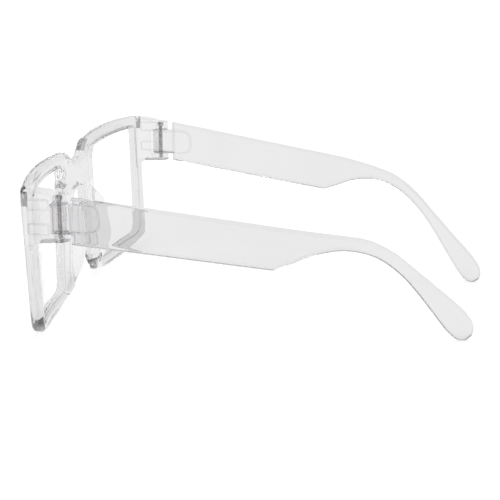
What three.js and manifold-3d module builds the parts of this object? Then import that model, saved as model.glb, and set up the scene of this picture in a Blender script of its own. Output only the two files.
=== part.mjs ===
// Clear moulded eyeglasses with squared rims, broad temples and three-knuckle hinges.
// Millimetres, +Z up. The glasses stand as on a table, on the rim bottoms and the temple tips.
// +X is the wearer's left, the lenses face -Y and the temples run back along +Y.
// The origin is under the middle of the whole object.
import * as THREE from "three";
import { TessellateModifier } from "three/addons/modifiers/TessellateModifier.js";
import { mergeVertices } from "three/addons/utils/BufferGeometryUtils.js";
import Module from "manifold-3d";

// Driving dimensions
const FRONT_HALF_WIDTH = 72.6;
const FRONT_HEIGHT = 60.7;
const FRONT_DEPTH = 5.1; // front face to back face of the rims
const FRONT_Y = -82.1; // front face at the bridge
const FRONT_BEVEL = 1;
const WRAP_START = 25; // the front is flat to this distance either side of the middle
const WRAP = 0.0036; // past that it falls back by this times the square of the distance
const WRAP_CHANGE = 0.000016; // and by this much more for each millimetre further down
const NASAL_TUCK = 0.02; // how fast the lower nasal corners fall back towards their tips
const THINNING_START = 67.5; // the rims get thinner from here to their outer edge
const OUTER_EDGE_SHARE = 0.4; // and this share of the depth is left at the outer edge
const CORNER_CUT = 3.4; // the rims' top outer corners are cut off at 45 degrees
const LENS_DEPTH = 2.6; // front face to the middle of the lens
const GROOVE_DEPTH = 1.2;
const GROOVE_WIDTH = 2.4;
const LENS_THICKNESS = 1.8;
const CLEARANCE = 0.3; // between pieces that touch

const HINGE_X = 68.6;
const HINGE_Y = -61.9;
const KNUCKLE_RADIUS = 3.4;
const SCREW_RADIUS = 0.7;
const SCREW_HEAD_RADIUS = 1.2;
const SCREW_HEAD_HEIGHT = 1.1;
const SCREW_TOP = 56.2;
const SCREW_BOTTOM = 40.8;
const MIDDLE_KNUCKLE_BOTTOM = 42.9;
const MIDDLE_KNUCKLE_TOP = 52.9;

const END_PIECE_REAR = HINGE_Y - 1.6;
const END_PIECE_INNER = 65.0;
const END_PIECE_TOP = 57.4;
const END_PIECE_BOTTOM = 39.7;

const BAR_HEIGHT = 0.7; // of the raised bars across the end piece's outer face

const TEMPLE_START = 5.2; // from the hinge axis to the butt of the temple
const TEMPLE_THICKNESS = 3.4;
const TEMPLE_BEVEL = 0.5;
const TEMPLE_X = 71.45; // middle of the temple's thickness, carried forward to the hinge axis
const TOE_IN = 0.13; // sideways lean of the straight part
const TIP_BEND_START = 79; // the tip bends inwards over this stretch, measured from the hinge axis
const TIP_BEND_END = 150;
const TIP_BEND_AMOUNT = 18.3;

const CURVE_STEPS = 5; // straight pieces in each rounded corner
const BROAD_RADIUS = 8;
const BROAD_CURVE_STEPS = 14; // the same in a corner of at least the broad radius
const TIP_STEPS = 30; // cross-sections along the shaped part of a temple
const LONGEST_EDGE = 6.5; // of a triangle in a piece that is bent after it is extruded

const wasm = await Module();
wasm.setup();

// Solids and meshes

function solid(geometry) {
  const bare = geometry.clone();
  bare.deleteAttribute("normal");
  bare.deleteAttribute("uv");
  const merged = mergeVertices(bare, 1e-4);
  return new wasm.Manifold(
    new wasm.Mesh({
      numProp: 3,
      vertProperties: merged.attributes.position.array,
      triVerts: new Uint32Array(merged.index.array),
    }),
  );
}

function geometryOf(body) {
  const mesh = body.getMesh();
  const geometry = new THREE.BufferGeometry();
  geometry.setAttribute("position", new THREE.BufferAttribute(mesh.vertProperties, mesh.numProp));
  geometry.setIndex(new THREE.BufferAttribute(mesh.triVerts, 1));
  return geometry;
}

// The same piece for the wearer's right side.
function mirrored(geometry) {
  const other = geometry.clone().scale(-1, 1, 1);
  const index = other.index.array;
  for (let i = 0; i < index.length; i += 3) {
    [index[i + 1], index[i + 2]] = [index[i + 2], index[i + 1]];
  }
  return other;
}

function joined(...bodies) {
  return bodies.reduce((whole, body) => whole.add(body));
}

// Moves each vertex by a rule of its own place.
function moveVertices(geometry, rule) {
  const position = geometry.attributes.position;
  const point = new THREE.Vector3();
  for (let i = 0; i < position.count; i++) {
    point.fromBufferAttribute(position, i);
    rule(point);
    position.setXYZ(i, point.x, point.y, point.z);
  }
  return geometry;
}

function box(x0, x1, y0, y1, z0, z1) {
  const geometry = new THREE.BoxGeometry(x1 - x0, y1 - y0, z1 - z0);
  return geometry.translate((x0 + x1) / 2, (y0 + y1) / 2, (z0 + z1) / 2);
}

// An upright cylinder on the left hinge axis.
function hingeCylinder(radius, z0, z1, sides = 32) {
  const geometry = new THREE.CylinderGeometry(radius, radius, z1 - z0, sides);
  return geometry.rotateX(Math.PI / 2).translate(HINGE_X, HINGE_Y, (z0 + z1) / 2);
}

// A closed outline through corners [x, y, radius], each rounded by a curve that starts and ends
// one radius away from the corner.
function roundedOutline(corners) {
  const points = [];
  const at = corners.map(([x, y]) => new THREE.Vector2(x, y));
  corners.forEach(([, , radius], i) => {
    const corner = at[i];
    const before = at[(i + at.length - 1) % at.length];
    const after = at[(i + 1) % at.length];
    const enter = before.clone().sub(corner).setLength(radius).add(corner);
    const leave = after.clone().sub(corner).setLength(radius).add(corner);
    const steps = radius < BROAD_RADIUS ? CURVE_STEPS : BROAD_CURVE_STEPS;
    if (radius > 0) {
      points.push(...new THREE.QuadraticBezierCurve(enter, corner, leave).getPoints(steps));
    } else {
      points.push(corner);
    }
  });
  return points;
}

// Extrudes an outline drawn in Y and Z from x0 to x1.
function sidePlate(outline, x0, x1, bevel) {
  const geometry = new THREE.ExtrudeGeometry(new THREE.Shape(outline), {
    depth: x1 - x0 - 2 * bevel,
    bevelEnabled: bevel > 0,
    bevelThickness: bevel,
    bevelSize: bevel,
    bevelOffset: -bevel,
    bevelSegments: 1,
  });
  return geometry.rotateY(Math.PI / 2).rotateX(Math.PI / 2).translate(x0 + bevel, 0, 0);
}

// Front frame

// The lens opening of the left rim, grown outwards by an offset.
function apertureCorners(offset) {
  return [
    [17.0 - offset, 54.6 + offset, 5 + offset],
    [44.0, 55.5 + offset, 15],
    [66.0 + offset, 54.4 + offset, 3 + offset],
    [65.2 + offset, 6.8 - offset, 4.5 + offset],
    [44.0, 4.9 - offset, 12],
    [21.5 - offset, 5.3 - offset, 4.5 + offset],
  ];
}

// Bridge, rims and their cut corners, drawn in X and Z from the middle of the bridge's top
// round the left rim, then mirrored.
function frontOutline() {
  const outerTop = 58.9;
  const half = [
    [6.5, 53.9, 2.2],
    [10.4, 57.4, 1.6],
    [13.2, 59.4, 1.6],
    [45, FRONT_HEIGHT + 0.2, 22],
    [FRONT_HALF_WIDTH - CORNER_CUT, outerTop, 1.6],
    [FRONT_HALF_WIDTH, outerTop - CORNER_CUT, 1.6],
    [71.8, 10, 2.4],
    [67.5, 4.6, 2.4],
    [53, 0, 12],
    [27, 0, 9],
    [13.2, 5.6, 3],
    [9.8, 38.3, 3.5],
    [5, 42.9, 3],
  ];
  const otherHalf = half.map(([x, z, radius]) => [-x, z, radius]).reverse();
  return roundedOutline([...half, ...otherHalf]);
}

// Where the front face lies in Y: flat at the bridge, wrapped round the face towards the
// temples, a little more at the bottom, and tucked back at the rims' lower nasal corners.
function frontFace(x, z) {
  const past = Math.max(0, Math.abs(x) - WRAP_START);
  const wrap = WRAP - WRAP_CHANGE * (z - FRONT_HEIGHT / 2);
  const tuck = NASAL_TUCK * Math.max(0, 24 - Math.abs(x)) * Math.max(0, 14 - z);
  return FRONT_Y + wrap * past * past + tuck;
}

// The share of the full depth that the rims have at a distance from the middle.
function depthShare(x) {
  const past = Math.max(0, Math.abs(x) - THINNING_START);
  return 1 - ((1 - OUTER_EDGE_SHARE) * past) / (FRONT_HALF_WIDTH - THINNING_START);
}

// A plate with bevelled edges between two depths behind the front face, drawn in X and Z.
function frontPlate(outline, holes, startDepth, endDepth, bevel, share) {
  const counterClockwise = THREE.ShapeUtils.isClockWise(outline) ? outline.toReversed() : outline;
  const shape = new THREE.Shape(counterClockwise);
  shape.holes = holes.map((hole) => new THREE.Path(hole));
  const flat = new THREE.ExtrudeGeometry(shape, {
    depth: endDepth - startDepth - 2 * bevel,
    bevelEnabled: bevel > 0,
    bevelThickness: bevel,
    bevelSize: bevel,
    bevelOffset: -bevel,
    bevelSegments: 1,
  });
  flat.rotateX(Math.PI / 2).translate(0, endDepth - bevel, 0);
  const divided = new TessellateModifier(LONGEST_EDGE, 12).modify(flat);
  return solid(
    moveVertices(divided, (point) => {
      point.y = frontFace(point.x, point.z) + point.y * share(point.x);
    }),
  );
}

function rims() {
  const left = roundedOutline(apertureCorners(0));
  const right = left.map((point) => new THREE.Vector2(-point.x, point.y));
  return frontPlate(frontOutline(), [left, right], 0, FRONT_DEPTH, FRONT_BEVEL, depthShare);
}

function lensPlate(offset, thickness) {
  const outline = roundedOutline(apertureCorners(offset));
  const start = LENS_DEPTH - thickness / 2;
  return frontPlate(outline, [], start, start + thickness, 0, () => 1);
}

// The block behind the rim's outer top corner that carries the hinge, drawn from the side. Its
// front end is set a little behind the front face.
function endPieceBlock() {
  const joint = -76;
  const profile = roundedOutline([
    [joint, 58.2, 0],
    [-68, 58.2, 2],
    [END_PIECE_REAR, END_PIECE_TOP, 0.8],
    [END_PIECE_REAR, END_PIECE_BOTTOM, 0.8],
    [-69.8, END_PIECE_BOTTOM - 0.2, 1.5],
    [-72, 35.8, 0.5],
    [joint, 35.8, 0],
  ]);
  const block = sidePlate(profile, END_PIECE_INNER, FRONT_HALF_WIDTH, 0.4);
  return moveVertices(block, (point) => {
    if (point.y < joint + 1) point.y = frontFace(point.x, point.z) + 1.3;
  });
}

// Two raised bars moulded across the outer face of the end piece.
function raisedBar(z0, z1) {
  const outline = roundedOutline([
    [-72, z0, 0.5],
    [-64.5, z0, 0.5],
    [-64.5, z1, 0.5],
    [-72, z1, 0.5],
  ]);
  return solid(sidePlate(outline, FRONT_HALF_WIDTH - 1, FRONT_HALF_WIDTH + BAR_HEIGHT, 0.3));
}

// A nose pad moulded on the nasal side of the rim: a fin, drawn from the side. It follows the
// nasal side of the rim down, and splays outwards to the rear.
function nosePad() {
  const thickness = 3;
  const outline = roundedOutline([
    [-80.6, 39.8, 1],
    [-76.4, 40.3, 1.2],
    [-71.8, 34.3, 3],
    [-70.2, 17.6, 4],
    [-77.3, 2.8, 1],
    [-80.0, 2.8, 1],
  ]);
  const splayed = moveVertices(sidePlate(outline, 0, thickness, 0.6), (point) => {
    point.x += 9.9 + 0.19 * (37.3 - point.z) + 0.35 * (point.y + 78.2);
  });
  return solid(splayed);
}

function leftHingeSeat() {
  const upper = solid(hingeCylinder(KNUCKLE_RADIUS, MIDDLE_KNUCKLE_TOP + CLEARANCE, END_PIECE_TOP - 0.4));
  const lower = solid(
    hingeCylinder(KNUCKLE_RADIUS, END_PIECE_BOTTOM + 0.1, MIDDLE_KNUCKLE_BOTTOM - CLEARANCE),
  );
  return joined(solid(endPieceBlock()), upper, lower, raisedBar(51.8, 55.4), raisedBar(42.9, 46.7));
}

// What is cut away for the left hinge: room for the temple's knuckle and its tongue as it
// swings inwards, the screw's bore and the recess for its head.
function leftHingeCuts() {
  const bottom = MIDDLE_KNUCKLE_BOTTOM - CLEARANCE;
  const top = MIDDLE_KNUCKLE_TOP + CLEARANCE;
  const room = KNUCKLE_RADIUS + CLEARANCE;
  const knuckleRoom = solid(hingeCylinder(room, bottom, top));
  const swingRoom = solid(box(HINGE_X - 8, HINGE_X, HINGE_Y - room, HINGE_Y + 8, bottom, top));
  const bore = solid(hingeCylinder(SCREW_RADIUS + CLEARANCE, SCREW_BOTTOM - CLEARANCE, 60, 20));
  const headFloor = SCREW_TOP - SCREW_HEAD_HEIGHT - CLEARANCE;
  const recess = solid(hingeCylinder(SCREW_HEAD_RADIUS + CLEARANCE, headFloor, 60, 24));
  return joined(knuckleRoom, swingRoom, bore, recess);
}

function mirroredSolid(body) {
  return solid(mirrored(geometryOf(body)));
}

function frontFrame() {
  const leftSide = joined(leftHingeSeat(), nosePad());
  const body = joined(rims(), leftSide, mirroredSolid(leftSide));
  const groove = lensPlate(GROOVE_DEPTH, GROOVE_WIDTH);
  const leftCuts = joined(leftHingeCuts(), groove);
  return body.subtract(leftCuts).subtract(mirroredSolid(leftCuts));
}

// Temples

function smoothStep(t) {
  const clamped = Math.min(1, Math.max(0, t));
  return clamped * clamped * (3 - 2 * clamped);
}

// Middle of the temple's thickness at a distance behind the hinge axis.
function templeMiddle(distance) {
  const bend = smoothStep((distance - TIP_BEND_START) / (TIP_BEND_END - TIP_BEND_START));
  return TEMPLE_X - TOE_IN * distance - TIP_BEND_AMOUNT * bend;
}

// Side view of the temple as matched points of its lower and upper edges, each a distance
// behind the hinge axis and a height. The broad part is straight. Then the underside tapers up
// to a slim neck, and the tip drops to a rounded paddle.
const LOWER_EDGE = [
  [74.9, 30.9],
  [80.9, 33.1],
  [87.9, 36.0],
  [96.9, 37.4],
  [104.9, 36.0],
  [111.9, 32.4],
  [119.8, 24.8],
  [127.7, 13.9],
  [133.8, 5.0],
  [137.6, 1.0],
  [139.8, 0.05],
  [141.4, 0.2],
];
const UPPER_EDGE = [
  [76.5, 46.1],
  [83, 45.2],
  [90, 44.0],
  [98.5, 42.4],
  [106.9, 40.2],
  [115.4, 35.0],
  [123.8, 27.1],
  [132.2, 19.0],
  [139.5, 12.0],
  [143.0, 7.8],
  [144.2, 4.6],
  [143.6, 1.9],
];
const BUTT_LOWER = [TEMPLE_START, 39.3];
const BUTT_UPPER = [TEMPLE_START, 56.2];

// Points along an edge of the temple, from the butt to the tip.
function edgePoints(butt, shaped) {
  const curve = new THREE.SplineCurve(shaped.map(([y, z]) => new THREE.Vector2(y, z)));
  return [new THREE.Vector2(...butt), ...curve.getPoints(TIP_STEPS)];
}

// A closed strip with eight-sided sections: each ring of the cylinder becomes one section, a
// rectangle with cut corners that spans the temple's height and thickness there.
function templeArm() {
  const lower = edgePoints(BUTT_LOWER, LOWER_EDGE);
  const upper = edgePoints(BUTT_UPPER, UPPER_EDGE);
  const rings = lower.length - 1;
  const geometry = new THREE.CylinderGeometry(1, 1, rings, 8, rings);
  geometry.rotateY(Math.PI / 8).rotateX(Math.PI / 2).translate(0, 0, rings / 2);
  const half = TEMPLE_THICKNESS / 2;
  return moveVertices(geometry, (point) => {
    const ring = Math.round(point.z);
    const height = lower[ring].distanceTo(upper[ring]);
    const radius = Math.hypot(point.x, point.y);
    const isEdge = Math.abs(point.y) > Math.abs(point.x);
    const side = -Math.sign(point.x) * (isEdge ? half - TEMPLE_BEVEL : half);
    const inset = isEdge ? 0 : TEMPLE_BEVEL / height;
    const share = point.y > 0 ? 1 - inset : inset;
    if (radius < 0.5) {
      const middle = lower[ring].clone().lerp(upper[ring], 0.5);
      point.set(templeMiddle(middle.x), middle.x + HINGE_Y, middle.y);
      return;
    }
    const place = lower[ring].clone().lerp(upper[ring], share);
    point.set(templeMiddle(place.x) + side, place.x + HINGE_Y, place.y);
  });
}

// The middle knuckle, the tongue that joins it to the temple, and the round-ended boss that
// the tongue runs out into on the temple's inner face.
function templeKnuckle() {
  const bottom = MIDDLE_KNUCKLE_BOTTOM;
  const top = MIDDLE_KNUCKLE_TOP;
  const bossEnd = HINGE_Y + 14;
  const knuckle = solid(hingeCylinder(KNUCKLE_RADIUS, bottom, top));
  const innerX = HINGE_X - 2;
  const outerX = HINGE_X + 2.6;
  const tongue = solid(box(innerX, outerX, HINGE_Y, HINGE_Y + TEMPLE_START + 1, bottom, top));
  const boss = roundedOutline([
    [HINGE_Y + 2, bottom, 0],
    [bossEnd, bottom, 4.5],
    [bossEnd, top, 4.5],
    [HINGE_Y + 2, top, 0],
  ]);
  const bossPlate = solid(sidePlate(boss, innerX + 0.4, HINGE_X + 1, 0));
  return joined(knuckle, tongue, bossPlate);
}

function leftTemple() {
  const bore = solid(
    hingeCylinder(SCREW_RADIUS + CLEARANCE, MIDDLE_KNUCKLE_BOTTOM - 1, MIDDLE_KNUCKLE_TOP + 1, 20),
  );
  return solid(templeArm()).add(templeKnuckle()).subtract(bore);
}

// Screws

function leftScrew() {
  const shank = solid(hingeCylinder(SCREW_RADIUS, SCREW_BOTTOM, SCREW_TOP - 0.5, 20));
  const head = solid(hingeCylinder(SCREW_HEAD_RADIUS, SCREW_TOP - SCREW_HEAD_HEIGHT, SCREW_TOP, 24));
  const slotHalf = 0.15;
  const slot = solid(
    box(
      HINGE_X - 2,
      HINGE_X + 2,
      HINGE_Y - slotHalf,
      HINGE_Y + slotHalf,
      SCREW_TOP - 0.45,
      SCREW_TOP + 1,
    ),
  );
  return joined(shank, head).subtract(slot);
}

// Assembly

function clearPlastic() {
  return new THREE.MeshStandardMaterial({
    color: 0xe9ebee,
    roughness: 0.08,
    metalness: 0,
    transparent: true,
    opacity: 0.35,
  });
}

function lensMaterial() {
  return new THREE.MeshStandardMaterial({
    color: 0xfafcfc,
    roughness: 0.03,
    metalness: 0,
    transparent: true,
    opacity: 0.15,
  });
}

function steel() {
  return new THREE.MeshStandardMaterial({ color: 0x8b8d90, roughness: 0.3, metalness: 1 });
}

const glasses = new THREE.Group();

function place(name, geometry, material) {
  const mesh = new THREE.Mesh(geometry, material);
  mesh.name = name;
  glasses.add(mesh);
}

// Places a left piece and its mirror image.
function placePair(name, geometry, makeMaterial) {
  place(name + "_left", geometry, makeMaterial());
  place(name + "_right", mirrored(geometry), makeMaterial());
}

place("front_frame", geometryOf(frontFrame()), clearPlastic());
placePair("lens", geometryOf(lensPlate(GROOVE_DEPTH - CLEARANCE, LENS_THICKNESS)), lensMaterial);
placePair("temple", geometryOf(leftTemple()), clearPlastic);
placePair("hinge_screw", geometryOf(leftScrew()), steel);

export default glasses;
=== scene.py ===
# Clear moulded eyeglasses on a white studio floor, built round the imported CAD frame.
# Metres, in the row frame: +Z up, the lenses face -Y, +X is the wearer's left.
import math

import bpy
import numpy as np
from mathutils import Matrix, Vector


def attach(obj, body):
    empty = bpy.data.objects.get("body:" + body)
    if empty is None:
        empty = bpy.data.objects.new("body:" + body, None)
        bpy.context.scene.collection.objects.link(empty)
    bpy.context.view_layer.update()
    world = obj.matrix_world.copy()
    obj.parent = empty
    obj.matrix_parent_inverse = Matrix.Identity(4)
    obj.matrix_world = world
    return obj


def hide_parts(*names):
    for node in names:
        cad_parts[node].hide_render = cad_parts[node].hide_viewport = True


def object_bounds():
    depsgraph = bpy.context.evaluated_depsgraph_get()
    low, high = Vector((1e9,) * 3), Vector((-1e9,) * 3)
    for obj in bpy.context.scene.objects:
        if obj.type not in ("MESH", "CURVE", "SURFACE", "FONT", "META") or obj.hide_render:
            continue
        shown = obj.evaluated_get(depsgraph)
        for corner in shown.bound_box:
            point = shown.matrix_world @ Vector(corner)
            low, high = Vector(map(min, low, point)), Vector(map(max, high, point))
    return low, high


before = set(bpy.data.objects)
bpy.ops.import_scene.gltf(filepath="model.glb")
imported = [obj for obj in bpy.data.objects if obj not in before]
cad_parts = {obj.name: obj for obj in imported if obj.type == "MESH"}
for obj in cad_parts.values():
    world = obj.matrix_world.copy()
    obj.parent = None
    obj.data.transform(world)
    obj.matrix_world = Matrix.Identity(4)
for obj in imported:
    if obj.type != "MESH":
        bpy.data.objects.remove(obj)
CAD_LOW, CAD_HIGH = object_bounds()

SIDES = ("left", "right")

# How finely each piece is re-meshed, and how many rounds of smoothing then round its edges
FRONT_VOXEL = 0.00024
FRONT_ROUNDS = 8
LENS_VOXEL = 0.0003
LENS_ROUNDS = 6
TEMPLE_VOXEL = 0.0003
TEMPLE_ROUNDS = 3
SCREW_WEAR = 0.00008

EDGE_ROUNDS = 2  # how far the painted dark lines along the edges spread, in vertices
BAR_FOOT = CAD_HIGH[0] - 0.0006  # the end pieces' outer faces, under their raised bars
BAR_WALL_TILT = 0.75  # a raised bar's side walls face less than this much outwards
BAR_WALL_SHARPNESS = 0.3
CONTACT_REACH = 0.0004  # a lens's gap in its groove, and a little more

# The places where the left rim's corners are trimmed off, in X and Z, and the way each corner facet
# faces.
# These facets get painted shade, standing in for the dark refraction seen at the bevelled corners.
# Reach is the distance it extends to, back the furthest it goes in Y, and dark the strength of the
# painted shade.
SHADED_CORNER_CUTS = [
    {"at": (0.0720, 0.0565), "out": (0.92, 0.38), "reach": 0.0038, "back": -0.0720, "dark": 1.0},
    {"at": (0.0697, 0.0068), "out": (0.75, -0.66), "reach": 0.0052, "back": 0, "dark": 0.1},
    {"at": (0.0118, 0.0585), "out": (-0.66, 0.75), "reach": 0.0045, "back": 0, "dark": 0.8},
    {"at": (0.0125, 0.0060), "out": (-0.75, -0.66), "reach": 0.0045, "back": 0, "dark": 0.4},
]
CUT_FACING = (0.76, 0.86)  # the painted corner shade fades in between these shares of facing its way

# Boxes round the left nose pad and the left end piece, painted paler than the rims: painted light
# that offsets the darker look where several layers of plastic overlap
PAD_BOX = ((0.008, -0.0780, 0.0), (0.024, -0.0690, 0.042))
END_PIECE_BOX = ((0.0655, -0.0735, 0.039), (0.074, -0.0600, 0.059))

# ---------------------------------------------------------------- pieces


def refined(node, body, voxel, rounds):
    """A finer copy of a CAD node with its edges rounded over, riding on the same body."""
    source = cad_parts[node]
    piece = bpy.data.objects.new(node + "_moulded", source.data.copy())
    bpy.context.scene.collection.objects.link(piece)
    remesh = piece.modifiers.new("remesh", "REMESH")
    remesh.mode = "VOXEL"
    remesh.voxel_size = voxel
    remesh.use_smooth_shade = True
    smooth = piece.modifiers.new("round", "SMOOTH")
    smooth.factor = 0.5
    smooth.iterations = rounds
    graph = bpy.context.evaluated_depsgraph_get()
    mesh = bpy.data.meshes.new_from_object(piece.evaluated_get(graph))
    piece.modifiers.clear()
    piece.data = mesh
    mesh.polygons.foreach_set("use_smooth", [True] * len(mesh.polygons))
    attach(piece, body)
    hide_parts(node)
    return piece


def vertex_vectors(mesh):
    """Places and normals of a mesh's vertices, as two arrays of rows."""
    places = np.empty(len(mesh.vertices) * 3)
    normals = np.empty(len(mesh.vertices) * 3)
    mesh.vertices.foreach_get("co", places)
    mesh.vertex_normals.foreach_get("vector", normals)
    return places.reshape(-1, 3), normals.reshape(-1, 3)


def store(mesh, name, values):
    mesh.attributes.new(name, "FLOAT", "POINT").data.foreach_set("value", values.astype(float))


def mark_edges(piece):
    """Stores how sharply the surface bends at each vertex, spread a little, as "edge". The side
    walls of the raised bars on the end pieces count as sharp all over. This mask places the painted
    dark edge lines, a painted reflection of the dark studio along the edges."""
    mesh = piece.data
    places, normals = vertex_vectors(mesh)
    count = len(places)
    pairs = np.empty(len(mesh.edges) * 2, dtype=int)
    mesh.edges.foreach_get("vertices", pairs)
    one, other = pairs.reshape(-1, 2).T
    turn = 1 - np.einsum("ij,ij->i", normals[one], normals[other])
    sharpness = np.zeros(count)
    np.maximum.at(sharpness, one, turn)
    np.maximum.at(sharpness, other, turn)
    beside_bar = (np.abs(places[:, 0]) > BAR_FOOT) & (np.abs(normals[:, 0]) < BAR_WALL_TILT)
    sharpness[beside_bar] = BAR_WALL_SHARPNESS
    links = np.bincount(pairs, minlength=count)
    for _ in range(EDGE_ROUNDS):
        total = np.bincount(one, sharpness[other], count) + np.bincount(other, sharpness[one], count)
        sharpness = 0.5 * sharpness + 0.5 * total / np.maximum(links, 1)
    store(mesh, "edge", sharpness)


def mark_corner_cut_shade(piece, corners):
    """Stores painted shade on the facets that trim off the rims' corners, standing in for the dark
    refraction seen there, as "cut".
    """
    places, normals = vertex_vectors(piece.data)
    start, end = CUT_FACING
    corner_shade = np.zeros(len(places))
    for corner in corners:
        x, z = corner["at"]
        out_x, out_z = corner["out"]
        for side in (1, -1):
            near = np.hypot(places[:, 0] - side * x, places[:, 2] - z) < corner["reach"]
            inside = near & (places[:, 1] < corner["back"])
            facing = normals[:, 0] * side * out_x + normals[:, 2] * out_z
            faces_out = np.clip((facing - start) / (end - start), 0, 1)
            corner_shade = np.maximum(corner_shade, corner["dark"] * faces_out * inside)
    store(piece.data, "corner_shade", corner_shade)


def mark_painted_light(piece, boxes):
    """Stores 1 inside boxes of the left half and their mirror images, as "pale". There the plastic
    gets painted light, offsetting the darker look of overlapping layers.
    """
    places, _ = vertex_vectors(piece.data)
    places[:, 0] = np.abs(places[:, 0])
    painted_light = np.zeros(len(places))
    for low, high in boxes:
        painted_light[np.all((places > low) & (places < high), axis=1)] = 1
    store(piece.data, "painted_light", painted_light)


def cell_keys(places, size, shift=(0, 0, 0)):
    """One whole number for the cube of space that holds each place. No part is as far from the
    origin as half the cells in a row."""
    cells_in_row = 8192
    cells = np.floor(places / size).astype(np.int64) + np.array(shift) + cells_in_row // 2
    return (cells[:, 0] * cells_in_row + cells[:, 1]) * cells_in_row + cells[:, 2]


def mark_contact(piece, others):
    """Stores 1 where the surface lies against one of the other pieces, as "contact"."""
    places, _ = vertex_vectors(piece.data)
    steps = (-1, 0, 1)
    taken = [
        np.unique(cell_keys(vertex_vectors(each.data)[0], CONTACT_REACH, (i, j, k)))
        for each in others
        for i in steps
        for j in steps
        for k in steps
    ]
    against = np.isin(cell_keys(places, CONTACT_REACH), np.concatenate(taken))
    store(piece.data, "contact", against)


front = refined("front_frame", "front", FRONT_VOXEL, FRONT_ROUNDS)
lenses = [refined("lens_" + side, "front", LENS_VOXEL, LENS_ROUNDS) for side in SIDES]
temples = [
    refined("temple_" + side, "temple_" + side, TEMPLE_VOXEL, TEMPLE_ROUNDS)
    for side in SIDES
]
for piece in (front, *temples):
    mark_edges(piece)
mark_corner_cut_shade(front, SHADED_CORNER_CUTS)
mark_painted_light(front, [PAD_BOX, END_PIECE_BOX])
mark_contact(front, lenses)
for lens in lenses:
    mark_contact(lens, [front])
screws = [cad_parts["hinge_screw_" + side] for side in SIDES]
for screw in screws:
    bevel = screw.modifiers.new("worn edges", "BEVEL")
    bevel.width = SCREW_WEAR
    bevel.segments = 2
    bevel.limit_method = "ANGLE"

# ---------------------------------------------------------------- materials


class Shader:
    """A material with one Principled shader and helpers to feed it from textures."""

    def __init__(self, name):
        self.material = bpy.data.materials.new(name)
        self.material.use_nodes = True
        self.tree = self.material.node_tree
        self.base = self.tree.nodes["Principled BSDF"]

    def set(self, **values):
        for socket, value in values.items():
            self.base.inputs[socket.replace("_", " ")].default_value = value

    def node(self, kind, **values):
        made = self.tree.nodes.new(kind)
        for key, value in values.items():
            if hasattr(made, key):
                setattr(made, key, value)
            else:
                made.inputs[key.replace("_", " ")].default_value = value
        return made

    def link(self, out, into):
        self.tree.links.new(out, into)

    def feed(self, out, socket):
        """Links an output to one of the Principled shader's own sockets."""
        self.link(out, self.base.inputs[socket])

    def noise(self, scale, detail, stretch=(1, 1, 1)):
        place = self.node("ShaderNodeTexCoord").outputs["Object"]
        mapping = self.node("ShaderNodeMapping")
        mapping.inputs["Scale"].default_value = stretch
        self.link(place, mapping.inputs["Vector"])
        texture = self.node("ShaderNodeTexNoise", Scale=scale, Detail=detail)
        self.link(mapping.outputs["Vector"], texture.inputs["Vector"])
        return texture.outputs["Fac"]

    def attribute(self, name):
        return self.node("ShaderNodeAttribute", attribute_name=name).outputs["Fac"]

    def spread(self, value, low, high, start=0.35, end=0.65):
        """Takes values from start to end, the middle of a noise's range, to low and high."""
        ramp = self.node("ShaderNodeMapRange")
        ends = {"From Min": start, "From Max": end, "To Min": low, "To Max": high}
        for socket, number in ends.items():
            ramp.inputs[socket].default_value = number
        self.link(value, ramp.inputs["Value"])
        return ramp.outputs["Result"]

    def mix(self, share, one, other):
        """A colour between two, each a colour or another node's output."""
        node = self.node("ShaderNodeMix", data_type="RGBA")
        colours = [socket for socket in node.inputs if socket.type == "RGBA"]
        for socket, colour in zip(colours, (one, other)):
            if isinstance(colour, tuple):
                socket.default_value = (*colour, 1)
            else:
                self.link(colour, socket)
        self.link(share, node.inputs["Factor"])
        return next(socket for socket in node.outputs if socket.type == "RGBA")

    def bump(self, height, distance):
        node = self.node("ShaderNodeBump", Distance=distance, Strength=1.0)
        self.link(height, node.inputs["Height"])
        self.feed(node.outputs["Normal"], "Normal")

    def let_lamps_through(self, share):
        """Lets this much of the lamps' light straight through the piece."""
        path = self.node("ShaderNodeLightPath")
        through = self.node("ShaderNodeBsdfTransparent")
        through.inputs["Color"].default_value = (share, share, share, 1)
        mixed = self.node("ShaderNodeMixShader")
        self.link(path.outputs["Is Shadow Ray"], mixed.inputs["Fac"])
        self.link(self.base.outputs["BSDF"], mixed.inputs[1])
        self.link(through.outputs["BSDF"], mixed.inputs[2])
        self.link(mixed.outputs["Shader"], self.tree.nodes["Material Output"].inputs["Surface"])


UNBENT = 1.002  # an index of refraction at which light goes almost straight on
PLASTIC_IOR = 1.08
# The front and the temples are the same clear plastic; the front gets a darker grey as painted
# shade, copying how the front looks darker under the studio light
FRONT_SHADED_GREY = 0.735
TEMPLE_GREY = 0.76
# Paler grey painted into the pad and end-piece boxes, painted light offsetting the shade of
# overlapping layers
PAINTED_LIGHTENING = (0.84, 0.835, 0.84)
# Grey of the painted dark edge lines, a painted reflection of the dark studio along the edges
PAINTED_EDGE_SHADE = (0.60, 0.60, 0.62)
# Near-black painted shade on the corner facets, standing in for the dark refraction at the bevelled
# corners
PAINTED_CORNER_SHADE = (0.17, 0.165, 0.175)


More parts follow.
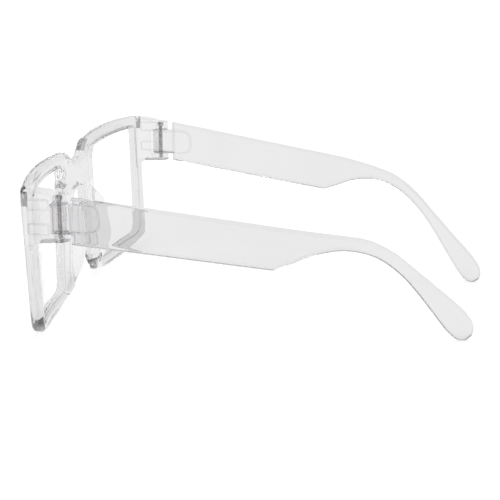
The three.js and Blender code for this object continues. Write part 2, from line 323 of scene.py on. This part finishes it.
def clear_plastic(name, grey):
    """Polished injection-moulded plastic: clear, with the slow waviness of the mould. Its colour
    carries painted dark edge lines, painted shade on the corner facets and painted light in the
    pad and end-piece boxes. It hardly shows where a lens lies in its groove."""
    shader = Shader(name)
    shader.set(Transmission_Weight=1.0, Coat_Weight=0.5, Coat_IOR=1.35, Coat_Roughness=0.03)
    contact = shader.attribute("contact")
    darker = (grey - 0.01, grey - 0.015, grey - 0.01)
    lighter = (grey + 0.01, grey + 0.005, grey + 0.01)
    body = shader.mix(shader.spread(shader.noise(22, 2), 0, 1), darker, lighter)
    # painted light: paler plastic in the pad and end-piece boxes
    lightened = shader.mix(shader.attribute("painted_light"), body, PAINTED_LIGHTENING)
    edge = shader.spread(shader.attribute("edge"), 0, 0.75, 0.015, 0.08)
    # painted shade: grey lines along the edges stand in for the dark studio reflected there
    edge_shaded = shader.mix(edge, lightened, PAINTED_EDGE_SHADE)
    # painted shade: the corner facets darkened to copy the dark refraction at the bevelled corners
    corner_darkened = shader.mix(shader.attribute("corner_shade"), edge_shaded, PAINTED_CORNER_SHADE)
    shader.feed(shader.mix(contact, corner_darkened, (grey, grey, grey)), "Base Color")
    shader.feed(shader.spread(contact, PLASTIC_IOR, UNBENT, 0, 1), "IOR")
    shader.feed(shader.spread(shader.noise(260, 3), 0.015, 0.05), "Roughness")
    shader.bump(shader.noise(90, 1, (1, 0.35, 1)), 0.00004)
    shader.let_lamps_through(0.97)
    return shader.material


def lens_plastic():
    """Thin clear lenses that only glint, with no glint where they lie in the groove."""
    shader = Shader("lens_plastic")
    shader.set(Transmission_Weight=1.0, IOR=UNBENT, Coat_IOR=1.3, Coat_Roughness=0.01)
    cloud = shader.spread(shader.noise(15, 1), 0, 1)
    shader.feed(shader.mix(cloud, (0.995, 0.995, 0.995), (0.99, 0.995, 0.995)), "Base Color")
    shader.feed(shader.spread(shader.attribute("contact"), 0.5, 0, 0, 1), "Coat Weight")
    shader.feed(shader.spread(shader.noise(150, 2), 0.0, 0.012), "Roughness")
    shader.let_lamps_through(0.99)
    return shader.material


def turned_steel():
    shader = Shader("turned_steel")
    shader.set(Metallic=1.0)
    rings = shader.noise(900, 3, (0.1, 0.1, 3))
    tone = shader.mix(shader.spread(rings, 0, 1), (0.50, 0.47, 0.47), (0.70, 0.67, 0.67))
    shader.feed(tone, "Base Color")
    shader.feed(shader.spread(rings, 0.22, 0.42), "Roughness")
    shader.bump(rings, 0.00002)
    return shader.material


def pale_floor():
    shader = Shader("pale_floor")
    shader.set(Roughness=0.9, Specular_IOR_Level=0.1, Emission_Strength=0.28)
    shader.set(Emission_Color=(1, 1, 1, 1))
    shader.feed(shader.mix(shader.noise(3, 2), (0.93, 0.93, 0.93), (0.95, 0.95, 0.95)), "Base Color")
    return shader.material


def paint(objects, material):
    for piece in objects:
        piece.data.materials.clear()
        piece.data.materials.append(material)


paint([front], clear_plastic("front_plastic", FRONT_SHADED_GREY))
paint(temples, clear_plastic("temple_plastic", TEMPLE_GREY))
paint(lenses, lens_plastic())
steel = turned_steel()
for screw in screws:
    if not screw.material_slots:
        screw.data.materials.append(steel)
    for each in screw.material_slots:
        each.material = steel

# ---------------------------------------------------------------- studio

FLOOR_SIZE = 8
FLOOR_GAP = 0.0002  # the floor lies this far under the glasses
WORLD_STRENGTH = 0.8
WORLD_LEVEL = (0.68, 0.68, 0.69, 1)  # towards the horizon
WORLD_ABOVE = (1, 1, 1, 1)
WORLD_ABOVE_START = 0.45
SOFTBOX_PLACE = Vector((0.5, -0.7, 1.5))
SOFTBOX_SIZE = 1.2
SOFTBOX_WATTS = 4

bpy.ops.mesh.primitive_plane_add(size=FLOOR_SIZE, location=(0, 0, -FLOOR_GAP))
floor = bpy.context.object
floor.name = "floor"
floor.data.materials.append(pale_floor())

world = bpy.data.worlds.new("studio")
bpy.context.scene.world = world
world.use_nodes = True
tree = world.node_tree
background = tree.nodes["Background"]
direction = tree.nodes.new("ShaderNodeTexCoord")
split = tree.nodes.new("ShaderNodeSeparateXYZ")
tree.links.new(direction.outputs["Generated"], split.inputs["Vector"])
ramp = tree.nodes.new("ShaderNodeValToRGB")
tree.links.new(split.outputs["Z"], ramp.inputs["Fac"])
level, above = ramp.color_ramp.elements
level.position = 0.0
level.color = WORLD_LEVEL
above.position = WORLD_ABOVE_START
above.color = WORLD_ABOVE
tree.links.new(ramp.outputs["Color"], background.inputs["Color"])
background.inputs["Strength"].default_value = WORLD_STRENGTH

softbox_light = bpy.data.lights.new("key_softbox", "AREA")
softbox_light.shape = "RECTANGLE"
softbox_light.size = SOFTBOX_SIZE
softbox_light.size_y = SOFTBOX_SIZE
softbox_light.energy = SOFTBOX_WATTS
softbox = bpy.data.objects.new("key_softbox", softbox_light)
bpy.context.scene.collection.objects.link(softbox)
softbox.location = SOFTBOX_PLACE
softbox.rotation_mode = "QUATERNION"
softbox.rotation_quaternion = (-SOFTBOX_PLACE).to_track_quat("-Z", "Y")

# The photo's camera: where it stands, and the way it looks from, in degrees
CAMERA_PLACE = Vector((0.50519, 0.094567, 0.169093))
CAMERA_AZIMUTH = 11.438
CAMERA_ELEVATION = 16.184
CAMERA_ROLL = -0.413
CAMERA_LENS = 97.2

camera_data = bpy.data.cameras.new("camera")
camera_data.sensor_width = 36
camera_data.lens = CAMERA_LENS
camera = bpy.data.objects.new("camera", camera_data)
bpy.context.scene.collection.objects.link(camera)
swing = Matrix.Rotation(math.radians(90 + CAMERA_AZIMUTH), 4, "Z")
tilt = Matrix.Rotation(math.radians(90 - CAMERA_ELEVATION), 4, "X")
roll = Matrix.Rotation(math.radians(CAMERA_ROLL), 4, "Z")
camera.matrix_world = Matrix.Translation(CAMERA_PLACE) @ swing @ tilt @ roll
bpy.context.scene.camera = camera
bpy.context.scene.view_settings.view_transform = "Standard"
